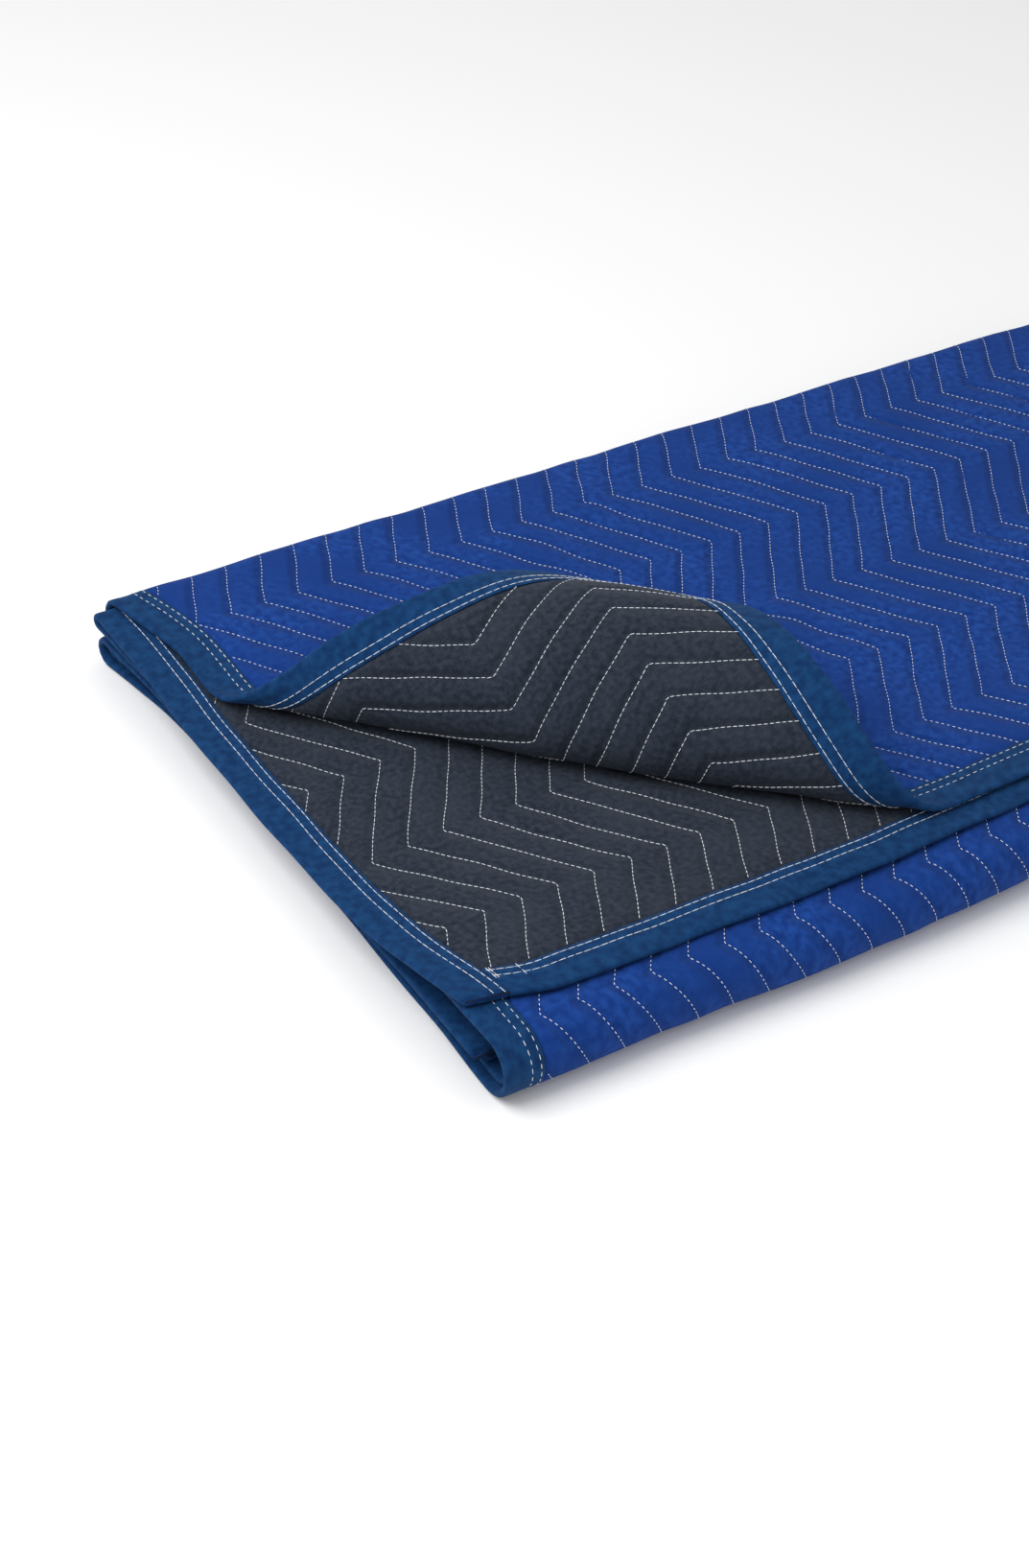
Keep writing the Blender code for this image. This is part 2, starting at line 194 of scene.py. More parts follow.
# Mesh density
FINE_STEP = 0.0080
FOLD_STEP = 0.0032
COARSE_STEP = 0.030
BINDING_STEP = 0.004
HIDDEN_BINDING_STEP = 0.010
FAR_BINDING_STEP = 0.020
FINE_REACH = 0.56
HEM_STEPS = 4
HEM_RAMP = 0.0015
CROSSWISE_STEPS = 10
NEAR_FRONT_FOLD = 0.1
SECOND_PANEL_STEP = 0.022
THIRD_PANEL_STEP = 0.028
FOURTH_PANEL_STEP = 0.024
UV_NAME = "cloth"
UV_LEAN = 0.3

# The binding's section: rounded where it wraps the edge, gathered a little along its length
PANEL_HEM = BINDING_WIDTH + 0.0004
HEM_SLACK = 0.0002
ROW_SLIDE_FROM = BINDING_WIDTH + 0.0011
SIDE_BINDING_FROM = 0.0258
WRAP_STEPS = 9
BINDING_LIP = 0.0006
BINDING_LIP_DROP = 0.0003
BINDING_SWELL = 0.0002
BINDING_SWELL_RATE = 700.0
GATHER = 0.00035
GATHER_MIDDLE = 0.009
GATHER_REACH = 0.014
LINING_POINTS = 6
FLAT_FROM = 0.001
EDGE_WANDER = 0.0004
EDGE_WANDER_RATE = 63.0

# Seams: spacing of the points along them, how far they wander, and how far they stand off the cloth
SEAM_STEP = 0.0026
SEAM_INSET = BINDING_WIDTH + 0.0005
QUILT_CLEARANCE = 0.00010
BINDING_CLEARANCE = 0.00012
SIDE_SEAM_FROM = 0.027
END_SEAM_FROM = 0.002
TURN_SLANT = 0.10
FLAP_REACH = 0.42
GREY_REACH = 0.50
HALF_PANEL = 0.10
PAST_TOP_FOLD = 0.03
BEFORE_FRONT_FOLD = 0.05
PAST_FRONT_FOLD = 0.02
STITCH_SIDES = 5
STITCH_RINGS = 4
STITCH_SMALLEST = (0.90, 0.90, 0.86)
STITCH_LARGEST = (1.12, 1.12, 1.06)
STITCH_SEED = 7
BINDING_DASH_FACE = 0.66
BINDING_DASH_BACK = 1.04

# Colours, linear: dark and light of each mottle, then the shaded tone, and the painted shade of the
# pressed-in quilting grooves
BLUE_DARK = (0.0040, 0.030, 0.180, 1.0)
BLUE_LIGHT = (0.0120, 0.060, 0.285, 1.0)
BLUE_SHADE = (0.0060, 0.036, 0.195, 1.0)
# painted shade: the darker blue laid into the quilting grooves
BLUE_GROOVE_SHADE = (0.0025, 0.018, 0.105, 1.0)
CHARCOAL_DARK = (0.013, 0.019, 0.031, 1.0)
CHARCOAL_LIGHT = (0.040, 0.050, 0.072, 1.0)
CHARCOAL_WORN = (0.048, 0.060, 0.084, 1.0)
CHARCOAL_GAP = (0.006, 0.009, 0.016, 1.0)
TEAL_DARK = (0.0020, 0.024, 0.092, 1.0)
TEAL_LIGHT = (0.0070, 0.052, 0.160, 1.0)
TEAL_GAP = (0.0015, 0.018, 0.066, 1.0)
THREAD_DULL = (0.70, 0.74, 0.80, 1.0)
THREAD_WHITE = (0.92, 0.94, 0.96, 1.0)

# Stage: places in metres from the blanket's middle on the floor
FLOOR_SIZE = 30.0
FLOOR_DROP = 0.0002
KEY_PLACE = (-1.5, 0.3, 1.9)
KEY_SIZE = 1.6
FILL_PLACE = (0.6, -1.8, 2.4)
FILL_SIZE = 2.4
FILL_SHARE = 0.25
CAMERA_PITCH = math.radians(-51.29)
CAMERA_YAW = math.radians(35.48)
CAMERA_ROLL = math.radians(-4.08)
CAMERA_POSITION = (-1.0663, -1.0998, 1.0815)
CAMERA_LENS = 60.75


def ease(t):
    """Rise smoothly from 0 to 1 as t goes from 0 to 1."""
    t = np.clip(t, 0.0, 1.0)
    return t * t * (3.0 - 2.0 * t)


# Section --------------------------------------------------------------------------------------

def near_front(y):
    return ease((FRONT_FOLD_Y + FRONT_RISE_LENGTH - y) / FRONT_RISE_LENGTH)


def near_back(y):
    return ease((y - BACK_FOLD_LOW_Y + BACK_RISE_LENGTH) / BACK_RISE_LENGTH)


def panel_4_height(y):
    level = HEIGHT_ON_FLOOR + PANEL_PITCH
    return level + near_back(y) * (HEIGHT_ON_FLOOR + 2.0 * BACK_FOLD_LOW_RADIUS - level)


def panel_2_height(y):
    level = HEIGHT_ON_FLOOR + 2.0 * PANEL_PITCH
    front = HEIGHT_ON_FLOOR + 2.0 * FRONT_FOLD_RADIUS
    back = HEIGHT_ON_FLOOR + 2.0 * BACK_FOLD_LOW_RADIUS + PANEL_PITCH + BACK_FOLD_EASE
    return level + near_front(y) * (front - level) + near_back(y) * (back - level)


def panel_1_height(y):
    return panel_2_height(y) + PANEL_PITCH + near_back(y) * (2.0 * BACK_FOLD_TOP_RADIUS - PANEL_PITCH)


def arc(centre_y, centre_z, radius, start, end, count=60):
    angles = np.radians(np.linspace(start, end, count))
    return np.column_stack([centre_y + radius * np.cos(angles), centre_z + radius * np.sin(angles)])


def run(start, end, height, count=200):
    ys = np.linspace(start, end, count)
    return np.column_stack([ys, height(ys)])


def section_path():
    """Return the folded section as distances, points and outward normals, and its named stations."""
    floor = HEIGHT_ON_FLOOR
    back = panel_2_height(np.array(BACK_FOLD_TOP_Y))
    pieces = [
        run(SECTION_START, BACK_FOLD_TOP_Y, panel_1_height),
        arc(BACK_FOLD_TOP_Y, back + BACK_FOLD_TOP_RADIUS, BACK_FOLD_TOP_RADIUS, 90, -90),
        run(BACK_FOLD_TOP_Y, FRONT_FOLD_Y, panel_2_height),
        arc(FRONT_FOLD_Y, floor + FRONT_FOLD_RADIUS, FRONT_FOLD_RADIUS, 90, 270),
        run(FRONT_FOLD_Y, BACK_FOLD_LOW_Y, lambda y: np.full_like(y, floor)),
        arc(BACK_FOLD_LOW_Y, floor + BACK_FOLD_LOW_RADIUS, BACK_FOLD_LOW_RADIUS, -90, 90),
        run(BACK_FOLD_LOW_Y, INNER_EDGE_Y, panel_4_height),
    ]
    points = pieces[0]
    marks = [0.0]
    for piece in pieces[1:]:
        marks.append(len(points) - 1)
        points = np.vstack([points, piece[1:]])
    marks.append(len(points) - 1)
    steps = np.linalg.norm(np.diff(points, axis=0), axis=1)
    distances = np.concatenate([[0.0], np.cumsum(steps)])
    tangents = np.gradient(points, axis=0)
    tangents /= np.linalg.norm(tangents, axis=1)[:, None]
    normals = np.column_stack([-tangents[:, 1], tangents[:, 0]])
    return distances, points, normals, [distances[int(mark)] for mark in marks]


DISTANCES, POINTS, NORMALS, MARKS = section_path()
PANEL_1, TOP_FOLD, PANEL_2, FRONT_FOLD, PANEL_3, LOW_FOLD, PANEL_4, SECTION_END = MARKS


def bound_ends():
    """Return the two bound ends' X along the section, smoothed along the cloth."""
    between = {
        "free edge": PANEL_1,
        "panel 1 front": PANEL_1 + 0.09,
        "panel 1 middle": 0.5 * (PANEL_1 + TOP_FOLD),
        "panel 1 back": TOP_FOLD - 0.06,
        "back fold top": 0.5 * (TOP_FOLD + PANEL_2),
        "panel 2 back": PANEL_2 + 0.06,
        "panel 2 middle": 0.5 * (PANEL_2 + FRONT_FOLD),
        "panel 2 front": FRONT_FOLD - 0.05,
        "front fold": 0.5 * (FRONT_FOLD + PANEL_3),
        "panel 3 front": PANEL_3 + 0.05,
        "panel 3 middle": 0.5 * (PANEL_3 + LOW_FOLD),
        "panel 3 back": LOW_FOLD - 0.06,
        "back fold low": 0.5 * (LOW_FOLD + PANEL_4),
        "panel 4 back": PANEL_4 + 0.06,
        "panel 4 middle": 0.5 * (PANEL_4 + SECTION_END),
        "inner edge": SECTION_END,
    }
    places = [between[name] for name, _, _ in END_STATIONS]
    across = np.arange(-END_SMOOTHING, SECTION_END + END_SMOOTHING, 0.002)
    kernel = np.hanning(int(END_SMOOTHING / 0.002))
    kernel /= kernel.sum()
    ends = []
    for column in (1, 2):
        values = np.interp(across, places, [row[column] for row in END_STATIONS])
        padded = np.pad(values, len(kernel), mode="edge")
        smoothed = np.convolve(padded, kernel, mode="same")[len(kernel):-len(kernel)]
        ends.append(smoothed)
    return across, ends[0], ends[1]


END_ACROSS, END_UPPER, END_LOWER = bound_ends()


# Curl -----------------------------------------------------------------------------------------

def curl_profile():
    """Return the curl's distances, and its forward travel, height and angle at each."""
    table = np.array(CURL_CURVATURE)
    distance = np.linspace(0.0, 0.40, 401)
    curvature = np.interp(distance, table[:, 0], table[:, 1])
    step = distance[1]
    angle = np.concatenate([[0.0], np.cumsum(0.5 * (curvature[1:] + curvature[:-1]) * step)])
    forward = np.concatenate([[0.0], np.cumsum(np.cos(0.5 * (angle[1:] + angle[:-1])) * step)])
    height = np.concatenate([[0.0], np.cumsum(np.sin(0.5 * (angle[1:] + angle[:-1])) * step)])
    return distance, forward, height, angle


CURL_DISTANCE, CURL_FORWARD, CURL_HEIGHT, CURL_ANGLE = curl_profile()


def curl(x, y, z, out):
    """Carry the flat upper ply's points at (x, y, z), out from its surface, onto the curl."""
    axis = np.array([math.cos(CURL_AXIS_ANGLE), -math.sin(CURL_AXIS_ANGLE)])
    towards = np.array([-math.sin(CURL_AXIS_ANGLE), -math.cos(CURL_AXIS_ANGLE)])
    rel_x = x - CURL_ORIGIN[0]
    rel_y = y - CURL_ORIGIN[1]
    along_axis = rel_x * axis[0] + rel_y * axis[1]
    line = CURL_SLANT * along_axis + CURL_BEND * along_axis ** 2
    past = rel_x * towards[0] + rel_y * towards[1] + line
    size = 1.0 + CURL_TAPER * along_axis
    reach = np.maximum(past / size, 0.0)
    forward = np.where(past > 0.0, size * np.interp(reach, CURL_DISTANCE, CURL_FORWARD), past)
    height = size * np.interp(reach, CURL_DISTANCE, CURL_HEIGHT)
    angle = np.interp(reach, CURL_DISTANCE, CURL_ANGLE)
    forward = forward - out * np.sin(angle)
    height = height + out * np.cos(angle)
    forward = forward - line
    new_x = CURL_ORIGIN[0] + along_axis * axis[0] + forward * towards[0]
    new_y = CURL_ORIGIN[1] + along_axis * axis[1] + forward * towards[1]
    return new_x, new_y, z + height


# From flat coordinates to the folded blanket --------------------------------------------------

def across_start(along):
    """Where the free edge lies across, at each distance along the cloth."""
    upper = FREE_EDGE_UPPER - SECTION_START
    lower = FREE_EDGE_LOWER - SECTION_START
    start = upper + (lower - upper) * ease((along - UPPER_LENGTH - FOLD_LENGTH) / EDGE_DRIFT_LENGTH)
    from_lower_end = UPPER_LENGTH + FOLD_LENGTH + LOWER_LENGTH - along
    return start + CORNER_ROUNDING * (1.0 - ease(from_lower_end / CORNER_REACH))


def settle(x, y, z):
    """Press the bound ends flatter half-way along, and bow the front fold outwards."""
    towards_end = ease((END_PRESS_FROM - x) / (END_PRESS_FROM - END_PRESS_TO))
    half_way = ease((y + PRESS_FRONT) / PRESS_RAMP) * ease((PRESS_BACK - y) / PRESS_RAMP)
    z = z * (1.0 - END_PRESS * towards_end * half_way)
    near_front_edge = ease((-y - FRONT_BOW_FROM) / FRONT_BOW_RAMP)
    y = y - FRONT_BOW * near_front_edge * np.sin(np.pi * np.clip(x / FRONT_BOW_LENGTH, 0.0, 1.0)) ** 2
    return x, y, z


def place(along, across, out):
    """Carry flat coordinates onto the folded blanket. Returns an array of points."""
    along, across, out = np.broadcast_arrays(along, across, out)
    turn = np.pi * np.clip((along - UPPER_LENGTH) / FOLD_LENGTH, 0.0, 1.0)
    section_y = np.interp(across, DISTANCES, POINTS[:, 0])
    section_z = np.interp(across, DISTANCES, POINTS[:, 1])
    normal_y = np.interp(across, DISTANCES, NORMALS[:, 0])
    normal_z = np.interp(across, DISTANCES, NORMALS[:, 1])
    section_y = section_y + np.minimum(across, 0.0) - np.maximum(across - SECTION_END, 0.0)
    upper_end = np.interp(across, END_ACROSS, END_UPPER)
    lower_end = np.interp(across, END_ACROSS, END_LOWER)
    on_upper = along <= UPPER_LENGTH
    upper_x = upper_end + along * (CROSSWISE_FOLD_X - upper_end) / UPPER_LENGTH
    past_fold = along - UPPER_LENGTH - FOLD_LENGTH
    lower_x = CROSSWISE_FOLD_X + past_fold * (lower_end - CROSSWISE_FOLD_X) / LOWER_LENGTH
    x = np.where(on_upper, upper_x, np.where(past_fold > 0.0, lower_x, CROSSWISE_FOLD_X))
    flat_out = out * np.cos(turn)
    curled = curl(x, section_y, section_z, out)
    x = x + out * np.sin(turn)
    y = section_y + normal_y * flat_out
    z = section_z + normal_z * flat_out
    takes_curl = on_upper & (across < TOP_FOLD)
    x = np.where(takes_curl, curled[0], x)
    y = np.where(takes_curl, curled[1], y)
    z = np.where(takes_curl, curled[2], z)
    x, y, z = settle(x, y, z)
    return np.stack([x - MIDDLE_X, y - MIDDLE_Y, z], axis=-1)


# Unevenness ---------------------------------------------------------------------------------

def crease_height(x, y):
    """Soft ridges and troughs of the upper ply, placed one by one."""
    height = np.zeros(np.broadcast(x, y).shape)
    for start_x, start_y, end_x, end_y, half_width, depth in CREASES:
        run_x = end_x - start_x
        run_y = end_y - start_y
        length = math.hypot(run_x, run_y)
        share = ((x - start_x) * run_x + (y - start_y) * run_y) / length ** 2
        aside = ((x - start_x) * run_y - (y - start_y) * run_x) / length
        aside = aside + CREASE_SNAKE * np.sin(CREASE_SNAKE_RATE * share)
        fade = ease(share / CREASE_FADE) * ease((1.0 - share) / CREASE_FADE)
        height = height + depth * fade * np.exp(-((aside / half_width) ** 2))
    return height


def ripple(along, across):
    """Small swells that both panels share, so that they stay apart."""
    total = 0.0
    for rate_along, rate_across, phase, share in RIPPLES:
        total = total + share * np.sin(rate_along * along + rate_across * across + phase)
    on_top = (across < TOP_FOLD) & (along <= UPPER_LENGTH)
    x = np.where(along <= UPPER_LENGTH, along - UPPER_END_AT, OFF_THE_CLOTH)
    creases = crease_height(x, SECTION_START + across)
    return RIPPLE_DEPTH * total + np.where(on_top, creases, 0.0)


def wrinkled(along, across, out):
    """Place points on the folded blanket, with the cloth's own unevenness."""
    along, across, out = np.broadcast_arrays(along, across, out)
    return place(along, across, out + ripple(along, across))


# Flat layout --------------------------------------------------------------------------------

def steps(marks):
    """Stations between marks: rows of (start, end, step)."""
    values = []
    for start, end, step in marks:
        count = max(1, round((end - start) / step))
        values += list(np.linspace(start, end, count + 1))[:-1]
    values.append(marks[-1][1])
    return np.array(values)


CLOTH_END = UPPER_LENGTH + FOLD_LENGTH + LOWER_LENGTH


def along_stations(hem):
    """Stations along the cloth, fine near the bound ends."""
    first = UPPER_LENGTH + FOLD_LENGTH
    past = hem + HEM_RAMP
    return steps([
        (0.0, hem, hem / HEM_STEPS),
        (hem, past, HEM_RAMP),
        (past, FINE_REACH, FINE_STEP),
        (FINE_REACH, UPPER_LENGTH, COARSE_STEP),
        (UPPER_LENGTH, first, FOLD_LENGTH / CROSSWISE_STEPS),
        (first, CLOTH_END - FINE_REACH, COARSE_STEP),
        (CLOTH_END - FINE_REACH, CLOTH_END - past, FINE_STEP),
        (CLOTH_END - past, CLOTH_END - hem, HEM_RAMP),
        (CLOTH_END - hem, CLOTH_END, hem / HEM_STEPS),
    ])


def across_stations(hem):
    """Stations across the cloth, fine on the top panel and round the folds."""
    past = hem + HEM_RAMP
    return steps([
        (0.0, hem, hem / HEM_STEPS),
        (hem, past, HEM_RAMP),
        (past, TOP_FOLD, FINE_STEP),
        (TOP_FOLD, PANEL_2, FOLD_STEP),
        (PANEL_2, FRONT_FOLD - NEAR_FRONT_FOLD, SECOND_PANEL_STEP),
        (FRONT_FOLD - NEAR_FRONT_FOLD, FRONT_FOLD, FINE_STEP),
        (FRONT_FOLD, PANEL_3, FOLD_STEP),
        (PANEL_3, LOW_FOLD, THIRD_PANEL_STEP),
        (LOW_FOLD, PANEL_4, FOLD_STEP),
        (PANEL_4, SECTION_END - past, FOURTH_PANEL_STEP),
        (SECTION_END - past, SECTION_END - hem, HEM_RAMP),
        (SECTION_END - hem, SECTION_END, hem / HEM_STEPS),
    ])


def across_at(along, row):
    """Slide the rows of panel 1 so that they start at the free edge."""
    share = np.clip((row - ROW_SLIDE_FROM) / (TOP_FOLD - ROW_SLIDE_FROM), 0.0, 1.0)
    return row + across_start(along) * (1.0 - share)


def cloth_uv(along, across):
    """The cloth's own coordinates in metres, from which the quilting is drawn on each ply."""
    x = np.where(along <= UPPER_LENGTH, along - UPPER_END_AT, CLOTH_END - along - LOWER_END_AT)
    y = SECTION_START + across
    upper = along <= UPPER_LENGTH + 0.5 * FOLD_LENGTH
    shift_x = np.where(upper, UPPER_QUILT_ORIGIN[0], LOWER_QUILT_ORIGIN[0])
    shift_y = np.where(upper, UPPER_QUILT_ORIGIN[1], LOWER_QUILT_ORIGIN[1])
    return np.stack([x - shift_x, shift_y - y], axis=-1)


# Meshes -------------------------------------------------------------------------------------

def new_object(name, points, quads, uvs, material):
    """A mesh object from arrays of points, four-cornered faces and one UV per point."""
    mesh = bpy.data.meshes.new(name)
    mesh.from_pydata(points.tolist(), [], quads.tolist())
    layer = mesh.uv_layers.new(name=UV_NAME)
    loops = np.empty(len(mesh.loops), dtype=np.int32)
    mesh.loops.foreach_get("vertex_index", loops)
    layer.data.foreach_set("uv", uvs[loops].astype(np.float32).ravel())
    mesh.materials.append(material)
    mesh.shade_smooth()
    mesh.validate()
    piece = bpy.data.objects.new(name, mesh)
    bpy.context.scene.collection.objects.link(piece)
    return piece


def grid_quads(rows, columns, flip):
    """Faces of a grid of rows by columns points, wound the other way round if flip."""
    corner = (np.arange(rows - 1)[:, None] * columns + np.arange(columns - 1)[None, :]).ravel()
    quads = np.stack([corner, corner + columns, corner + columns + 1, corner + 1], axis=1)
    return quads[:, ::-1] if flip else quads


def panel(name, inner, outer, inner_trim, outer_trim, material):
    """A whole panel of the blanket as a closed body, thinner where the binding wraps it."""
    along_marks = along_stations(PANEL_HEM)
    across_marks = across_stations(PANEL_HEM)
    along, row = np.meshgrid(along_marks, across_marks, indexing="ij")
    across = across_at(along, row)
    edge = np.minimum(np.minimum(along, CLOTH_END - along), np.minimum(row, SECTION_END - row))
    bound = edge < PANEL_HEM + HEM_SLACK
    low = wrinkled(along, across, np.where(bound, inner + inner_trim, inner))
    high = wrinkled(along, across, np.where(bound, outer - outer_trim, outer))
    rows, columns = along.shape
    count = rows * columns
    points = np.vstack([low.reshape(-1, 3), high.reshape(-1, 3)])
    uvs = np.tile(cloth_uv(along, across).reshape(-1, 2), (2, 1))
    quads = [grid_quads(rows, columns, True), grid_quads(rows, columns, False) + count]
    rim = [i * columns for i in range(rows)]
    rim += [(rows - 1) * columns + j for j in range(1, columns)]
    rim += [i * columns + columns - 1 for i in range(rows - 2, -1, -1)]
    rim += [j for j in range(columns - 2, 0, -1)]
    first = np.array(rim)
    second = np.roll(first, -1)
    quads.append(np.stack([first, second, second + count, first + count], axis=1))
    return new_object(name, points, np.vstack(quads), uvs, material)


def binding_profile():
    """The folded strip's section: distance in from the cloth's edge, and distance out."""
    middle = 0.5 * (BINDING_IN + BINDING_OUT)
    half = 0.5 * (BINDING_OUT - BINDING_IN)
    outside = [(BINDING_WIDTH, half - BINDING_LIP_DROP), (BINDING_WIDTH - BINDING_LIP, half)]
    for inward in (0.020, 0.014, 0.008, 0.004):
        outside.append((inward, half + BINDING_SWELL * math.sin(inward * BINDING_SWELL_RATE)))
    flat_part = list(outside)
    for angle in np.linspace(90.0, -90.0, WRAP_STEPS):
        bend = math.radians(angle)
        outside.append((BINDING_OVERHANG - 2.0 * BINDING_OVERHANG * math.cos(bend), half * math.sin(bend)))
    outside += [(inward, -out) for inward, out in reversed(flat_part)]
    lining = half - BINDING_THICK
    depths = (BINDING_WIDTH, 0.012, -0.0003)
    inside = [(inward, -lining) for inward in depths] + [(inward, lining) for inward in reversed(depths)]
    return [(inward, middle + out) for inward, out in outside + inside]


def pucker(station, inward):
    """The binding's small gathers along its length."""
    quick = np.sin(station * 310.0 + 2.0 * np.sin(station * 47.0))
    slow = np.sin(station * 173.0 + 1.3)
    reach = np.clip(1.0 - abs(inward - GATHER_MIDDLE) / GATHER_REACH, 0.0, 1.0)
    return (0.5 * quick + 0.5 * slow) * reach


def strip(name, stations, point_at, uv_at, material):
    """Sweep the binding's section along its stations."""
    profile = binding_profile()
    inward = np.array([row[0] for row in profile])
    out = np.array([row[1] for row in profile])
    middle = 0.5 * (BINDING_IN + BINDING_OUT)
    grid_station, grid_inward = np.meshgrid(stations, inward, indexing="ij")
    grid_out = np.broadcast_to(out, grid_station.shape)
    outer = np.arange(len(profile)) < len(profile) - LINING_POINTS
    swell = GATHER * pucker(grid_station, grid_inward) * outer
    off_middle = grid_out - middle
    grid_out = grid_out + np.sign(off_middle) * np.where(np.abs(off_middle) > FLAT_FROM, swell, 0.0)
    wander = EDGE_WANDER * np.sin(grid_station * EDGE_WANDER_RATE)
    reach = grid_inward - wander * (grid_inward < FLAT_FROM)
    points = point_at(grid_station, reach, grid_out)
    rows, columns = grid_station.shape
    quads = []
    for i in range(rows - 1):
        for j in range(columns):
            a = i * columns + j
            b = i * columns + (j + 1) % columns
            quads.append((a, b, b + columns, a + columns))
    uvs = uv_at(grid_station, grid_inward, grid_out).reshape(-1, 2)
    piece = new_object(name, points.reshape(-1, 3), np.array(quads), uvs, material)
    close_and_orient(piece)
    return piece


def close_and_orient(piece):
    """Cap a swept strip's two ends and turn its faces outwards."""
    model = bmesh.new()
    model.from_mesh(piece.data)
    open_edges = [edge for edge in model.edges if edge.is_boundary]
    bmesh.ops.holes_fill(model, edges=open_edges, sides=0)
    bmesh.ops.recalc_face_normals(model, faces=model.faces)
    model.to_mesh(piece.data)
    model.free()


# Materials ----------------------------------------------------------------------------------

class Nodes:
    """A short way to add and join shader nodes."""

    def __init__(self, name):
        self.material = bpy.data.materials.new(name)
        self.material.use_nodes = True
        self.tree = self.material.node_tree
        self.shader = self.tree.nodes["Principled BSDF"]

    def add(self, kind, settings=None):
        node = self.tree.nodes.new(kind)
        for key, value in (settings or {}).items():
            setattr(node, key, value)
        return node

    def feed(self, node, key, value):
        socket = node.inputs[key]
        if isinstance(value, bpy.types.NodeSocket):
            self.tree.links.new(value, socket)
        else:
            socket.default_value = value

    def maths(self, operation, first, second=0.0, third=0.0):
        node = self.add("ShaderNodeMath", {"operation": operation})
        for index, value in enumerate((first, second, third)):
            self.feed(node, index, value)
        return node.outputs[0]

    def mix(self, factor, first, second):
        node = self.add("ShaderNodeMix", {"data_type": "RGBA"})
        self.feed(node, 0, factor)
        self.feed(node, 6, first)
        self.feed(node, 7, second)
        return node.outputs[2]

    def noise(self, vector, scale, detail=2.0):
        node = self.add("ShaderNodeTexNoise")
        self.feed(node, "Vector", vector)
        self.feed(node, "Scale", scale)
        self.feed(node, "Detail", detail)
        return node.outputs[0]

    def ramp(self, value, low, high):
        node = self.add("ShaderNodeMapRange", {"interpolation_type": "SMOOTHSTEP"})
        for key, item in (("Value", value), ("From Min", low), ("From Max", high)):
            self.feed(node, key, item)
        return node.outputs[0]

    def bump(self, height, distance, strength=1.0, normal=None):
        node = self.add("ShaderNodeBump")
        self.feed(node, "Height", height)
        self.feed(node, "Distance", distance)
        self.feed(node, "Strength", strength)
        if normal is not None:
            self.feed(node, "Normal", normal)
        return node.outputs[0]


def cloth_vector(nodes):
    """The cloth's own coordinates: the vector, and its two parts."""
    node = nodes.add("ShaderNodeUVMap", {"uv_map": UV_NAME})
    split = nodes.add("ShaderNodeSeparateXYZ")
    nodes.feed(split, 0, node.outputs[0])
    return node.outputs[0], split.outputs[0], split.outputs[1]


def quilt_groove(nodes, u, v):
    """Distance from the nearest quilting line, in chevron pitches, from 0 to 0.5."""
    wave = nodes.maths("PINGPONG", nodes.maths("DIVIDE", v, QUILT_HALF_WAVE), 1.0)
    swung = nodes.maths("SUBTRACT", u, nodes.maths("MULTIPLY", wave, QUILT_SWING))
    return nodes.maths("PINGPONG", nodes.maths("DIVIDE", swung, QUILT_PITCH), 0.5)


def set_shader(nodes, colour, normal, roughness, sheen, tint):
    """Join the colour and the bump to the shader and set its constants."""
    nodes.feed(nodes.shader, "Base Color", colour)
    nodes.feed(nodes.shader, "Normal", normal)
    nodes.shader.inputs["Roughness"].default_value = roughness
    nodes.shader.inputs["Sheen Weight"].default_value = sheen
    nodes.shader.inputs["Sheen Roughness"].default_value = 0.6
    nodes.shader.inputs["Sheen Tint"].default_value = tint
    nodes.shader.inputs["Specular IOR Level"].default_value = 0.08


def face_material():
    """Blue non-woven: mottled fibres, pressed in along the quilting lines, with painted shade darkening the
    grooves.
    """
    nodes = Nodes("blue_face")
    vector, u, v = cloth_vector(nodes)
    groove = quilt_groove(nodes, u, v)
    puff = nodes.ramp(groove, 0.0, 0.30)
    mottle = nodes.noise(vector, 180.0, 5.0)
    broad = nodes.noise(vector, 14.0, 3.0)
    fibres = nodes.noise(vector, 1500.0, 3.0)
    base = nodes.mix(nodes.ramp(mottle, 0.30, 0.72), BLUE_DARK, BLUE_LIGHT)
    shaded = nodes.mix(nodes.ramp(broad, 0.35, 0.70), base, BLUE_SHADE)
    # painted shade: the colour darkens along the quilting grooves, as if the recesses were in shade
    in_groove = nodes.maths("SUBTRACT", 1.0, nodes.ramp(groove, 0.0, 0.10))
    groove_shaded = nodes.mix(nodes.maths("MULTIPLY", in_groove, 0.35), shaded, BLUE_GROOVE_SHADE)
    wrinkles = nodes.noise(vector, 95.0, 4.0)
    normal = nodes.bump(puff, 0.0026)
    normal = nodes.bump(wrinkles, 0.0011, 0.8, normal)
    normal = nodes.bump(fibres, 0.0004, 0.6, normal)
    set_shader(nodes, groove_shaded, normal, 0.86, 0.05, (0.35, 0.50, 0.95, 1.0))
    return nodes.material


